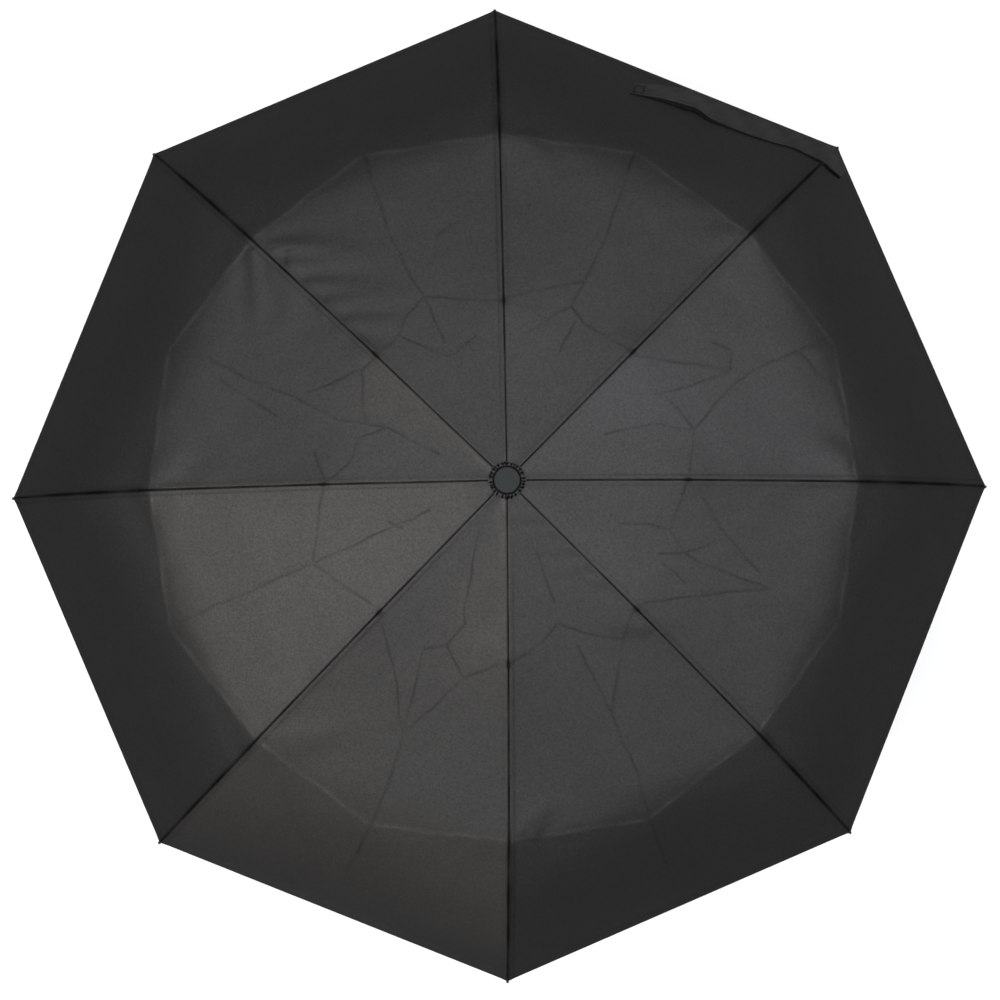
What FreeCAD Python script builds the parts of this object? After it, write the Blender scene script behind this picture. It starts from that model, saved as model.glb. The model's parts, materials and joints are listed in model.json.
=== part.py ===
"""A folding umbrella, open: three-section ribs on a telescopic shaft, one STEP file per sub-part.

Frame: millimetres, +Z up along the shaft, origin at the centre of the handle's flat end.
Each rib assembly is drawn in its own upright plane, x outward and z up, then turned about Z.
"""

import FreeCAD, Part
import math
import os

V = FreeCAD.Vector

# Driving dimensions of the whole umbrella
RIBS = 8
RIB_STEP = 360.0 / RIBS
CROWN_Z = 577.0          # height of the ring wire that the top ribs turn on
HINGE_R = 12.0           # radius of that ring wire, and of the runner's
TOP_RIB = 160.0          # crown pivot to first knuckle
STRUT = TOP_RIB / 2      # crown pivot to strut rivet, and strut rivet to runner
MIDDLE_RIB = 182.0       # first knuckle to second knuckle
OUTER_RIB = 195.0        # second knuckle to rib end
TOP_SLOPE = 12.0         # degrees below the horizontal, open
MIDDLE_SLOPE = 22.0
OUTER_SLOPE = 41.0       # of the outer rib's chord
OUTER_BOW = 9.0          # how far the outer rib bulges above its chord
CLOSED_SLOPE = 88.0      # top rib, folded

# Knuckles, in their own rib's axes
KNUCKLE_1_RISE = 5.3     # first knuckle above the top rib's pivot line
KNUCKLE_2_DROP = 5.2     # second knuckle below the middle rib's pivot line
RIVET_R = 0.85
RIVET_HEAD = (1.35, 0.35)    # radius and thickness
HOLE_R = 0.95
EYE_R = 2.1              # rounded end of a tab around its rivet
EAR_R = 2.0

# Channels: (lowest, highest) in the rib's axes, half width, wall
TOP_CHANNEL = (0.9, 4.5, 2.2)
MIDDLE_CHANNEL = (-4.4, -0.9, 2.0)
STRUT_CHANNEL = (-1.2, 1.6, 1.35)
WALL = 0.45
TAB_HALF = 1.1           # half thickness of the tabs between two ears

# Fold link, which swings the middle rib
LINK_ARM = 9.0
LINK_ARM_ANGLE = -155.5  # from the middle rib's direction
LINK_PLANE = (3.05, 3.75)
ARM_PLANE = (2.32, 2.92)

# Outer rib's rod
ROD_RISE = 2.8           # above the second knuckle
ROD_START = 5.0
ROD_R = 1.3
SOCKET_R = 1.9
TIP_LENGTH = 8.0         # of rod that the tip covers
TIP_CONE = (1.9, 1.2, 9.6)   # radii at the rod and at the ball, and length
TIP_BALL_R = 1.6
TIP_REACH = 10.4         # from the tip's start to its ball

# Shaft
UPPER_TUBE = (7.0, 6.5)  # outer and inner radius
MIDDLE_TUBE = (5.0, 4.55)
LOWER_TUBE = (3.8, 3.3)
UPPER_BOTTOM_Z = CROWN_Z - 193.0
MIDDLE_LENGTH = 180.0
TUBE_OVERLAP = 25.0
LOWER_TOP_Z = 254.0
MIDDLE_BOTTOM_Z = LOWER_TOP_Z - TUBE_OVERLAP
MIDDLE_TOP_Z = MIDDLE_BOTTOM_Z + MIDDLE_LENGTH
SLIDE_GAP = 0.06

# Crown, cap and runner
CROWN_R = 15.0
CROWN_TOP = 5.0
CROWN_BOTTOM = -4.5
HUB_R = 9.0
HUB_BOTTOM = -16.0
CROWN_SLOT = 2.6
RUNNER_SLOT = 3.8
WIRE_R = 0.6
CAP_R = 12.0
SPIGOT_R = 5.0           # peg on the crown that the cap presses onto
RUNNER_DROP = 2 * STRUT * math.sin(math.radians(TOP_SLOPE))
RUNNER_Z = CROWN_Z - RUNNER_DROP
SLEEVE_R = 9.4
SLEEVE_LENGTH = 28.0
CATCH_HALF = 1.0
CATCH_STAND = 0.85       # how far the catch stands out of the upper tube
KEYWAY_R = UPPER_TUBE[0] + CATCH_STAND + 0.35
CATCH_TOP = RUNNER_Z - SLEEVE_LENGTH - 1.0
CATCH_BOTTOM = CATCH_TOP - 7.0

# Handle
HANDLE_R = 16.0
HANDLE_TOP_Z = 76.0
SHOULDER_Z = 66.0
GRIP_GROOVES = (13.0, 16.5, 20.0, 56.0, 59.5, 63.0)
PIN_Z = 44.0
PIN_R = 1.25
CAP_HEIGHT = 8.0
CORE_R = 11.8
CORD_HOLE_R = 1.75

# Canopy
CLOTH = 0.6              # stands in for 0.1 mm cloth
CLOTH_HOLE_R = 9.5
CLOTH_ABOVE_ROD = 3.9    # cloth's underside above the outer rib's centre line
HEM_SHORT = 5.0          # the hem's corners stop this far before the ribs' ends
CREASE_REACH = 334.0     # radius of the crease's corner at the middle of a panel

# Closing strap
STRAP_LENGTH = 205.0
STRAP_WIDTH = 22.0
STRAP_START = 14.0       # along the hem from rib 1
STRAP_INSET = 4.0
STRAP_LIFT = 5.0


# ---------- small helpers ----------

def save(name, *solids):
    """Writes one sub-part, as one solid or a group of separate ones."""
    shape = solids[0] if len(solids) == 1 else Part.makeCompound(list(solids))
    shape.exportStep("parts/%s.step" % name)


def cylinder(radius, z0, z1, x=0.0, y=0.0):
    return Part.makeCylinder(radius, z1 - z0, V(x, y, z0))


def tube(outer, inner, z0, z1):
    return cylinder(outer, z0, z1).cut(cylinder(inner, z0 - 1, z1 + 1))


def block(x0, x1, z0, z1, y0, y1):
    return Part.makeBox(x1 - x0, y1 - y0, z1 - z0, V(x0, y0, z0))


def pin(x, z, radius, y0, y1):
    """A round bar across the rib's plane."""
    return Part.makeCylinder(radius, y1 - y0, V(x, y0, z), V(0, 1, 0))


def fuse(*shapes):
    return shapes[0].multiFuse(list(shapes[1:])).removeSplitter()


def ring_wire(radius, z):
    return Part.makeTorus(radius, WIRE_R, V(0, 0, z))


def direction(degrees):
    a = math.radians(degrees)
    return V(math.cos(a), 0, math.sin(a))


def placed(shape, x, z, degrees):
    """Puts a link drawn along +X from its own pivot at (x, z), pointing up by that many degrees."""
    moved = shape.copy()
    turn = FreeCAD.Rotation(V(0, -1, 0), degrees)
    moved.Placement = FreeCAD.Placement(V(x, 0, z), turn)
    return moved


def around(shape, index):
    """Turns a rib part about the shaft to rib number index."""
    moved = shape.copy()
    turn = FreeCAD.Placement(V(0, 0, 0), FreeCAD.Rotation(V(0, 0, 1), index * RIB_STEP))
    moved.Placement = turn.multiply(moved.Placement)
    return moved


def local_to_plane(pivot, degrees, x, z):
    """A point of a link's own axes, in the rib's plane."""
    a = math.radians(degrees)
    return V(pivot.x + x * math.cos(a) - z * math.sin(a), 0,
             pivot.z + x * math.sin(a) + z * math.cos(a))


# ---------- pivots of one rib assembly, open ----------

CROWN_PIVOT = V(HINGE_R, 0, CROWN_Z)
STRUT_PIVOT = local_to_plane(CROWN_PIVOT, -TOP_SLOPE, STRUT, 0)
KNUCKLE_1 = local_to_plane(CROWN_PIVOT, -TOP_SLOPE, TOP_RIB, KNUCKLE_1_RISE)
KNUCKLE_2 = local_to_plane(KNUCKLE_1, -MIDDLE_SLOPE, MIDDLE_RIB, -KNUCKLE_2_DROP)
STRUT_ANGLE = 180.0 + TOP_SLOPE
LINK_PIVOT = local_to_plane(STRUT_PIVOT, STRUT_ANGLE, LINK_ARM, 0)
LINK_FAR = KNUCKLE_1 + direction(-MIDDLE_SLOPE + LINK_ARM_ANGLE) * LINK_ARM
LINK_LENGTH = (LINK_FAR - LINK_PIVOT).Length
LINK_ANGLE = math.degrees(math.atan2(LINK_FAR.z - LINK_PIVOT.z, LINK_FAR.x - LINK_PIVOT.x))


# ---------- rib assembly ----------

def channel(x0, x1, low_high_half, open_side):
    """A folded steel channel; open_side is -1 for open below and +1 for open above."""
    low, high, half = low_high_half
    outer = block(x0, x1, low, high, -half, half)
    if open_side < 0:
        hollow = block(x0 - 1, x1 + 1, low - 1, high - WALL, -half + WALL, half - WALL)
    else:
        hollow = block(x0 - 1, x1 + 1, low + WALL, high + 1, -half + WALL, half - WALL)
    return outer.cut(hollow)


def ear_pair(x, z, half, reach_x0, reach_x1, z0, z1):
    """Two rounded ears beside a rivet, joined to the channel's walls."""
    ears = []
    for side in (-1, 1):
        y0, y1 = sorted((side * half, side * (half - WALL)))
        ears.append(pin(x, z, EAR_R, y0, y1).fuse(block(reach_x0, reach_x1, z0, z1, y0, y1)))
    return ears


def rivet(x, z, half):
    """A rivet through two ears, headed on both sides."""
    head_r, head = RIVET_HEAD
    shank = pin(x, z, RIVET_R, -half, half)
    near = pin(x, z, head_r, -half - head, -half)
    far = pin(x, z, head_r, half, half + head)
    return shank.fuse(near).fuse(far)


def top_rib():
    low, high, half = TOP_CHANNEL
    body = channel(8, TOP_RIB - 4, TOP_CHANNEL, -1)
    tab_half = 0.9
    eye = pin(0, 0, 1.7, -tab_half, tab_half)
    neck = block(0, 14, -0.2, 3.0, -tab_half, tab_half)
    root = block(8, 14, 1.0, high - WALL, -half + WALL, half - WALL)
    ears_1 = ear_pair(STRUT, 0, half, STRUT - 2, STRUT + 2, 0, low + 0.5)
    ears_2 = ear_pair(TOP_RIB, KNUCKLE_1_RISE, half, TOP_RIB - 6, TOP_RIB, 2.0, high)
    body = fuse(body, eye, neck, root, *ears_1, *ears_2)
    body = body.cut(pin(0, 0, WIRE_R + 0.15, -3, 3))
    return fuse(body, rivet(STRUT, 0, half), rivet(TOP_RIB, KNUCKLE_1_RISE, half))


def strut():
    low, high, half = STRUT_CHANNEL
    body = channel(7, STRUT - 14, STRUT_CHANNEL, 1)
    eye = pin(0, 0, EYE_R, -half, half)
    neck = block(0, 12, -1.1, 1.1, -half, half)
    finger = block(STRUT - 20, STRUT + 1.5, WIRE_R + 0.25, 2.6, -TAB_HALF, TAB_HALF)
    link_stud = pin(LINK_ARM, 0, 0.7, 0, LINK_PLANE[1] + 0.1)
    stud_head = pin(LINK_ARM, 0, 1.1, LINK_PLANE[1] + 0.05, LINK_PLANE[1] + 0.4)
    body = fuse(body, eye, neck, finger, link_stud, stud_head)
    return body.cut(pin(0, 0, HOLE_R, -3, 3))


def fold_link():
    y0, y1 = LINK_PLANE
    bar = block(0, LINK_LENGTH, -0.7, 0.7, y0, y1)
    eye = pin(0, 0, 1.3, y0, y1)
    far_eye = pin(LINK_LENGTH, 0, 1.3, y0, y1)
    far_rivet = pin(LINK_LENGTH, 0, 0.9, y1, y1 + 0.3)
    return fuse(bar, eye, far_eye, far_rivet).cut(pin(0, 0, 0.78, y0 - 1, y1 + 1))


def middle_rib():
    low, high, half = MIDDLE_CHANNEL
    body = channel(6, MIDDLE_RIB - 4, MIDDLE_CHANNEL, -1)
    eye = pin(0, 0, EYE_R, -TAB_HALF, TAB_HALF)
    neck = block(0, 12, -2.8, -1.0, -TAB_HALF, TAB_HALF)
    root = block(6, 12, -3.6, high - WALL, -half + WALL, half - WALL)
    ears = ear_pair(MIDDLE_RIB, -KNUCKLE_2_DROP, half, MIDDLE_RIB - 6, MIDDLE_RIB, -5.2, -2.0)
    arm_end = direction(LINK_ARM_ANGLE) * LINK_ARM
    y0, y1 = ARM_PLANE
    arm_bar = placed(block(0, LINK_ARM, -1.0, 1.0, y0, y1), 0, 0, LINK_ARM_ANGLE)
    arm_eye = pin(arm_end.x, arm_end.z, 1.3, y0, y1)
    arm_hub = pin(0, 0, EYE_R, y0, y1)
    arm_root = block(0, 12, -2.8, -1.0, y0, y1)
    bridge = block(7, 12, -2.8, -1.0, half - WALL, y1)
    body = fuse(body, eye, neck, root, arm_bar, arm_eye, arm_hub, arm_root, bridge, *ears)
    body = body.cut(pin(0, 0, HOLE_R, -half, half)).cut(pin(0, 0, 1.5, half, 4))
    return fuse(body, rivet(MIDDLE_RIB, -KNUCKLE_2_DROP, half))


def control_wire():
    """The thin wire under the middle rib that draws the outer rib in."""
    return Part.makeCylinder(0.4, MIDDLE_RIB - 28, V(14, 0, -3.9), V(1, 0, 0))


def rod_height(x):
    """The outer rib's centre line above its chord, at a distance along it."""
    share = x / OUTER_RIB
    return ROD_RISE * (1 - share) + 4 * OUTER_BOW * share * (1 - share)


def rod_arc(x0, x1):
    """The outer rib's bowed centre line between two distances along its chord."""
    middle = (x0 + x1) / 2
    return Part.Arc(*(V(x, 0, rod_height(x)) for x in (x0, middle, x1)))


def swept_rod(x0, x1, radius):
    path = rod_arc(x0, x1)
    start = path.value(path.FirstParameter)
    tangent = path.tangent(path.FirstParameter)[0]
    profile = Part.Wire([Part.Circle(start, tangent, radius).toShape()])
    return Part.Wire([path.toShape()]).makePipeShell([profile], True, True)


def outer_rib():
    eye = pin(0, 0, EYE_R, -TAB_HALF, TAB_HALF)
    neck = block(0, 9, 0.6, 4.6, -TAB_HALF, TAB_HALF).cut(pin(9, 0.4, 2.0, -3, 3))
    rod = swept_rod(ROD_START, OUTER_RIB - TIP_LENGTH, ROD_R)
    socket = swept_rod(ROD_START, 22, SOCKET_R)
    body = fuse(rod, socket, eye, neck)
    return body.cut(pin(0, 0, HOLE_R, -3, 3))


def rib_tip():
    """The small moulded end that the canopy's corner is sewn to."""
    path = rod_arc(OUTER_RIB - TIP_LENGTH, OUTER_RIB)
    start = path.value(path.FirstParameter)
    along = path.tangent(path.FirstParameter)[0]
    barrel = Part.makeCone(*TIP_CONE, start, along)
    ball = Part.makeSphere(TIP_BALL_R, start + along * TIP_REACH)
    return barrel.fuse(ball)


def make_ribs():
    top = placed(top_rib(), CROWN_PIVOT.x, CROWN_PIVOT.z, -TOP_SLOPE)
    rod = placed(strut(), STRUT_PIVOT.x, STRUT_PIVOT.z, STRUT_ANGLE)
    link = placed(fold_link(), LINK_PIVOT.x, LINK_PIVOT.z, LINK_ANGLE)
    middle = placed(middle_rib(), KNUCKLE_1.x, KNUCKLE_1.z, -MIDDLE_SLOPE)
    wire = placed(control_wire(), KNUCKLE_1.x, KNUCKLE_1.z, -MIDDLE_SLOPE)
    outer = placed(outer_rib(), KNUCKLE_2.x, KNUCKLE_2.z, -OUTER_SLOPE)
    tip = placed(rib_tip(), KNUCKLE_2.x, KNUCKLE_2.z, -OUTER_SLOPE)
    for k in range(RIBS):
        save("top_rib_%d" % k, around(top, k))
        save("strut_%d" % k, around(rod, k))
        save("fold_link_%d" % k, around(link, k))
        save("middle_rib_%d" % k, around(middle, k), around(wire, k))
        save("outer_rib_%d" % k, around(outer, k), around(tip, k))


# ---------- crown, cap and runner ----------

def slotted(disc, width, inner, outer, z0, z1):
    """Cuts one radial slot for each rib."""
    for k in range(RIBS):
        slot = block(inner, outer, z0, z1, -width / 2, width / 2)
        slot.rotate(V(0, 0, 0), V(0, 0, 1), k * RIB_STEP)
        disc = disc.cut(slot)
    return disc


def wire_groove(outer, z):
    """The groove round a slotted disc that its ring wire lies in."""
    inner = HINGE_R - WIRE_R - 0.05
    return tube(outer + 1, inner, z - WIRE_R - 0.05, z + WIRE_R + 0.05)


def make_crown():
    z = CROWN_Z
    disc = cylinder(CROWN_R, z + CROWN_BOTTOM, z + CROWN_TOP)
    disc = slotted(disc, CROWN_SLOT, 9.6, CROWN_R + 1, z + CROWN_BOTTOM - 1, z + 3.2)
    disc = slotted(disc, CROWN_SLOT, CROWN_R - 2.4, CROWN_R + 1, z, z + CROWN_TOP + 1)
    disc = disc.cut(wire_groove(CROWN_R, z))
    hub = cylinder(HUB_R, z + HUB_BOTTOM, z + 1)
    spigot = cylinder(SPIGOT_R, z + CROWN_TOP - 1, z + CROWN_TOP + 5)
    body = fuse(disc, hub, spigot)
    body = body.cut(cylinder(UPPER_TUBE[0], z + HUB_BOTTOM - 1, z + 2))
    save("crown", body)
    save("crown_wire", ring_wire(HINGE_R, z))
    cap = cylinder(CAP_R, z + 7.2, z + 12.4)
    edge = [e for e in cap.Edges if abs(e.BoundBox.ZMin - (z + 12.4)) < 1e-6 and e.Closed]
    cap = cap.makeFillet(1.6, edge[:1])
    cap = cap.cut(cylinder(SPIGOT_R + 0.1, z + 6, z + CROWN_TOP + 5.1))
    save("top_cap", cap)
    washer = tube(CAP_R - 0.5, SPIGOT_R + 0.1, z + CROWN_TOP + 1.4, z + 7.1)
    save("cloth_washer", washer)


def keyway(width, inner, outer, z0, z1):
    """A slot along the shaft on the catch's side, midway between two ribs."""
    slot = block(inner, outer, z0, z1, -width / 2, width / 2)
    slot.rotate(V(0, 0, 0), V(0, 0, 1), RIB_STEP / 2)
    return slot


def make_runner():
    z = RUNNER_Z
    flange = cylinder(CROWN_R, z - 4.2, z + 3.8)
    flange = slotted(flange, RUNNER_SLOT, 9.6, CROWN_R + 1, z - 5.2, z + 4.8)
    flange = flange.cut(wire_groove(CROWN_R, z))
    sleeve = cylinder(SLEEVE_R, z - SLEEVE_LENGTH, z + 3.8)
    rim = cylinder(SLEEVE_R + 1.6, z - SLEEVE_LENGTH, z - SLEEVE_LENGTH + 5)
    body = fuse(flange, sleeve, rim)
    body = body.cut(cylinder(UPPER_TUBE[0] + SLIDE_GAP, z - 40, z + 10))
    body = body.cut(keyway(2 * CATCH_HALF + 0.6, 6.0, KEYWAY_R, z - 40, z + 10))
    save("runner", body)
    save("runner_wire", ring_wire(HINGE_R, z))


# ---------- shaft ----------

def cross_hole():
    """The hole that the handle's pin passes through, in the handle's core and the lower tube."""
    return Part.makeCylinder(PIN_R, 40, V(-20, 0, PIN_Z), V(1, 0, 0))


def make_catch():
    """The spring catch: a leaf inside the upper tube with a tooth through its window."""
    leaf = block(UPPER_TUBE[1] - 0.58, UPPER_TUBE[1] - 0.14, CATCH_BOTTOM - 4, CATCH_TOP + 4,
                 -CATCH_HALF - 0.2, CATCH_HALF + 0.2)
    tooth = block(UPPER_TUBE[1] - 0.3, UPPER_TUBE[0] + CATCH_STAND, CATCH_BOTTOM, CATCH_TOP,
                  -CATCH_HALF, CATCH_HALF)
    ramp = block(UPPER_TUBE[0], UPPER_TUBE[0] + 3, CATCH_BOTTOM - 4, CATCH_BOTTOM,
                 -CATCH_HALF - 1, CATCH_HALF + 1)
    ramp.rotate(V(UPPER_TUBE[0], 0, CATCH_BOTTOM), V(0, 1, 0), 14)
    catch = fuse(leaf, tooth).cut(ramp)
    catch.rotate(V(0, 0, 0), V(0, 0, 1), RIB_STEP / 2)
    save("runner_catch", catch)


def make_shaft():
    upper = tube(*UPPER_TUBE, UPPER_BOTTOM_Z, CROWN_Z + 2)
    window = keyway(2 * CATCH_HALF + 0.2, 6.0, UPPER_TUBE[0] + 1, CATCH_BOTTOM - 0.1, CATCH_TOP + 0.1)
    save("upper_tube", upper.cut(window))
    save("upper_tube_bush", tube(UPPER_TUBE[1], MIDDLE_TUBE[0] + SLIDE_GAP,
                                 UPPER_BOTTOM_Z, UPPER_BOTTOM_Z + 12))
    save("middle_tube", tube(*MIDDLE_TUBE, MIDDLE_BOTTOM_Z, MIDDLE_TOP_Z))
    collar = tube(UPPER_TUBE[1] - SLIDE_GAP, MIDDLE_TUBE[0], MIDDLE_TOP_Z - 6, MIDDLE_TOP_Z)
    notch = keyway(2 * CATCH_HALF + 1.2, MIDDLE_TUBE[0] + 0.1, UPPER_TUBE[1] + 1,
                   MIDDLE_TOP_Z - 7, MIDDLE_TOP_Z + 1)
    save("middle_tube_collar", collar.cut(notch))
    save("middle_tube_bush", tube(MIDDLE_TUBE[1], LOWER_TUBE[0] + SLIDE_GAP,
                                  MIDDLE_BOTTOM_Z, MIDDLE_BOTTOM_Z + 12))
    save("lower_tube", tube(*LOWER_TUBE, 22.0, LOWER_TOP_Z).cut(cross_hole()))
    save("lower_tube_collar", tube(MIDDLE_TUBE[1] - SLIDE_GAP, LOWER_TUBE[0],
                                   LOWER_TOP_Z - 6, LOWER_TOP_Z))


# ---------- handle ----------

def make_handle():
    profile = [V(CORE_R, 0, CAP_HEIGHT), V(HANDLE_R, 0, CAP_HEIGHT), V(HANDLE_R, 0, SHOULDER_Z),
               V(13.2, 0, HANDLE_TOP_Z - 1), V(12.4, 0, HANDLE_TOP_Z), V(CORE_R, 0, HANDLE_TOP_Z)]
    edges = [Part.LineSegment(a, b).toShape() for a, b in zip(profile, profile[1:])]
    edges[2] = Part.Arc(profile[2], V(15.3, 0, 71.5), profile[3]).toShape()
    edges.append(Part.LineSegment(profile[-1], profile[0]).toShape())
    grip = Part.Face(Part.Wire(edges)).revolve(V(0, 0, 0), V(0, 0, 1), 360)
    for z in GRIP_GROOVES:
        grip = grip.cut(Part.makeTorus(HANDLE_R + 0.35, 0.9, V(0, 0, z)))
    save("handle_grip", grip)
    core = cylinder(CORE_R, 14.0, HANDLE_TOP_Z).cut(cylinder(LOWER_TUBE[0], 22.0, 90))
    core = core.cut(cylinder(4.0, 13.0, 19.0))
    cross_pin = Part.makeCylinder(PIN_R, 2 * CORE_R - 1, V(0.5 - CORE_R, 0, PIN_Z), V(1, 0, 0))
    save("handle_core", core.cut(cross_hole()))
    save("handle_pin", cross_pin)
    disc = cylinder(HANDLE_R, 0, CAP_HEIGHT)
    disc = disc.makeFillet(1.8, [e for e in disc.Edges if e.Closed and e.BoundBox.ZMax < 1e-6][:1])
    plug = cylinder(CORE_R, CAP_HEIGHT - 1, 13.8)
    hollow = cylinder(9.0, 3.5, 15)
    save("end_cap", fuse(disc, plug).cut(hollow).cut(cylinder(CORD_HOLE_R, -1, 5)))


# ---------- canopy ----------

def rib_line():
    """Points of the cloth's underside along a rib, from the crown to the hem, as (radius, z)."""
    knuckle_1 = local_to_plane(KNUCKLE_1, -TOP_SLOPE, 0, 3.2)
    knuckle_2 = local_to_plane(KNUCKLE_2, -MIDDLE_SLOPE, 0, KNUCKLE_2_DROP + 2.6)
    arc = []
    for share in (0.22, 0.44, 0.66, 0.85):
        x = share * OUTER_RIB
        arc.append(local_to_plane(KNUCKLE_2, -OUTER_SLOPE, x, rod_height(x) + CLOTH_ABOVE_ROD))
    hem = local_to_plane(KNUCKLE_2, -OUTER_SLOPE, OUTER_RIB - HEM_SHORT, CLOTH_ABOVE_ROD)
    points = [(CLOTH_HOLE_R, CROWN_Z + CROWN_TOP + 0.6), (22.0, CROWN_Z + 4.6)]
    return points + [(p.x, p.z) for p in (knuckle_1, knuckle_2, *arc, hem)]


def panel_middle_line(rib):
    """Points of the cloth at the middle of a panel, one beside each point of the rib line."""
    flat = math.cos(math.radians(RIB_STEP / 2))
    line = [(rib[0][0], rib[0][1]), (rib[1][0], rib[1][1])]
    line.append((rib[2][0] * flat, rib[2][1] - 1.5))
    slope = (rib[3][1] - rib[2][1]) / (rib[3][0] - rib[2][0])
    drop = (CREASE_REACH - rib[3][0] * flat) * slope
    line.append((CREASE_REACH, rib[3][1] + drop * 1.15))
    hem = (rib[-1][0] * flat, rib[-1][1])
    count = len(rib) - 4
    for i in range(1, count):
        share = i / count
        line.append(tuple(a + (b - a) * share for a, b in zip(line[3], hem)))
    return line + [hem]


def polar(radius, degrees, z):
    a = math.radians(degrees)
    return V(radius * math.cos(a), radius * math.sin(a), z)


def cloth_rings():
    """One ring of corners for each step from the crown to the hem: rib, panel middle, rib, ..."""
    rib = rib_line()
    middle = panel_middle_line(rib)
    rings = []
    for (r0, z0), (r1, z1) in zip(rib, middle):
        ring = []
        for k in range(RIBS):
            ring.append(polar(r0, k * RIB_STEP, z0))
            ring.append(polar(r1, (k + 0.5) * RIB_STEP, z1))
        rings.append(ring)
    return rings


def flat_face(*corners):
    return Part.Face(Part.makePolygon([*corners, corners[0]]))


def two_triangles(a, b, c, d):
    return [flat_face(a, b, c), flat_face(a, c, d)]


def make_canopy():
    """The cloth as a closed thin shell: an upper and a lower skin, the hem and the crown hole."""
    lower = cloth_rings()
    lift = V(0, 0, CLOTH)
    upper = [[p + lift for p in ring] for ring in lower]
    count = 2 * RIBS
    faces = []
    for skin in (lower, upper):
        for inner, outer in zip(skin, skin[1:]):
            for i in range(count):
                j = (i + 1) % count
                faces += two_triangles(inner[i], outer[i], outer[j], inner[j])
    for ring_low, ring_high in ((lower[0], upper[0]), (lower[-1], upper[-1])):
        for i in range(count):
            j = (i + 1) % count
            faces += two_triangles(ring_low[i], ring_low[j], ring_high[j], ring_high[i])
    solid = Part.Solid(Part.makeShell(faces))
    if solid.Volume < 0:
        solid.reverse()
    save("canopy", solid)


def make_tie_strap():
    """The closing strap, lying along the hem of the panel between ribs 1 and 2."""
    rings = cloth_rings()
    corner, hem_middle, far_corner = rings[-1][2], rings[-1][3], rings[-1][4]
    along = far_corner - corner
    along.normalize()
    inward = rings[-2][3] - hem_middle
    inward.normalize()
    normal = along.cross(inward)
    if normal.z < 0:
        normal = normal * -1
    start = corner + along * STRAP_START + inward * STRAP_INSET + normal * STRAP_LIFT
    a, b = start, start + along * STRAP_LENGTH
    c, d = b + inward * STRAP_WIDTH, a + inward * STRAP_WIDTH
    save("tie_strap", flat_face(a, b, c, d).extrude(normal * 1.0))


def main():
    os.makedirs("parts", exist_ok=True)
    make_handle()
    make_shaft()
    make_catch()
    make_crown()
    make_runner()
    make_ribs()
    make_canopy()
    make_tie_strap()


main()
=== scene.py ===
"""A folding umbrella, open: the cloth, its seams and creases, and every part's material.

Lengths in the cloth's code are millimetres in the model's own frame, and metres once in Blender.
"""

import json
import math

import bpy
import numpy as np
from mathutils import Matrix, Vector


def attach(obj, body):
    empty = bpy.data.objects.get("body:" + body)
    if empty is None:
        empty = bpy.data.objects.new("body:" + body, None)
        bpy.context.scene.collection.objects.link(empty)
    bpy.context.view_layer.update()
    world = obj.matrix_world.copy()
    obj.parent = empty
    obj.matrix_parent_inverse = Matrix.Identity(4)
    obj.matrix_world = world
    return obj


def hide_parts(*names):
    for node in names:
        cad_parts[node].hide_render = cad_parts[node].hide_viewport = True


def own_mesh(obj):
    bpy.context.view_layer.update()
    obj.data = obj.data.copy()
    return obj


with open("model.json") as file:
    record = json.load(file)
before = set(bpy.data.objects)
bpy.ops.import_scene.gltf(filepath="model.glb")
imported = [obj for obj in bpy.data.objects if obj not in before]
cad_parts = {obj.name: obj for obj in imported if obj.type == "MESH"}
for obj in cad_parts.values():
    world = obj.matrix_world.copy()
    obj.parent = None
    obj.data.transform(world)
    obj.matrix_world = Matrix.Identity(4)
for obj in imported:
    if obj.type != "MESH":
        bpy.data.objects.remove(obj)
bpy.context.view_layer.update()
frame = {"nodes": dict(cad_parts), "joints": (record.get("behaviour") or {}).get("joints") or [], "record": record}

MM = 0.001
RIBS = 8
RIB_STEP = 2 * math.pi / RIBS
HALF_STEP = RIB_STEP / 2             # from a rib to the middle of a panel
JOINTS = {j["name"]: j for j in frame["joints"]}


def pivot(name):
    """A joint's place in the plane of rib 0, as (radius, height) in mm."""
    x, _, z = JOINTS[name]["pos_m"]
    return x / MM, z / MM


CROWN = pivot("crown_hinge_0")
KNUCKLE_1 = pivot("first_knuckle_0")
KNUCKLE_2 = pivot("second_knuckle_0")

# Outer rib's rod, as in the CAD
OUTER_RIB = 195.0
OUTER_SLOPE = math.radians(41.0)
OUTER_BOW = 9.0
ROD_RISE = 2.8

# Cloth
CLOTH = 0.35                         # thickness
CLOTH_ABOVE_ROD = 4.3
HEM_SHORT = 5.0                      # the hem's corners stop this far before the rib ends
HEM_WIDTH = 9.0
HEM_EDGE = 1.3                       # the turned edge, which is given painted shade
HEM_PAINTED_SHADE = 0.5                     # and how strong its painted shade is
FIRST_R = 9.6                        # the opening under the cap
PANEL_BULGE = 18.0                   # how far a panel's middle stands out at the second knuckle
BULGE_REACH = 55.0
PANEL_DIP = 1.5                      # how far it sinks at the first one
DIP_REACH = 60.0
# How widely the cloth rounds the bends, at the first knuckle and elsewhere
BEND_SOFTNESS = (45.0, 23.0)         # along a panel's middle
KNUCKLE_SOFTNESS = (12.0, 5.0)       # over a rib
SOFTNESS_REACH = 95.0                # how far from the first knuckle its width still counts
PROFILE_STEP = 0.5

# Grid of each rib's share of the cloth
INNER_ROWS, MIDDLE_ROWS, OUTER_ROWS = 94, 114, 68
SEAM_COLUMNS = (0.0, 0.5, 1.0, 1.6, 2.4, 3.6, 5.4)   # distances from the rib
SEAM_FULL_WIDTH = 24.0               # a half panel narrower than this has them closer together
PANEL_COLUMNS = 56                   # from there to the panel's middle


# ---------- the cloth's smooth shape ----------

def bell(distance, width):
    """1 at no distance, falling off smoothly on both sides."""
    return np.exp(-0.5 * (distance / width) ** 2)


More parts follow.
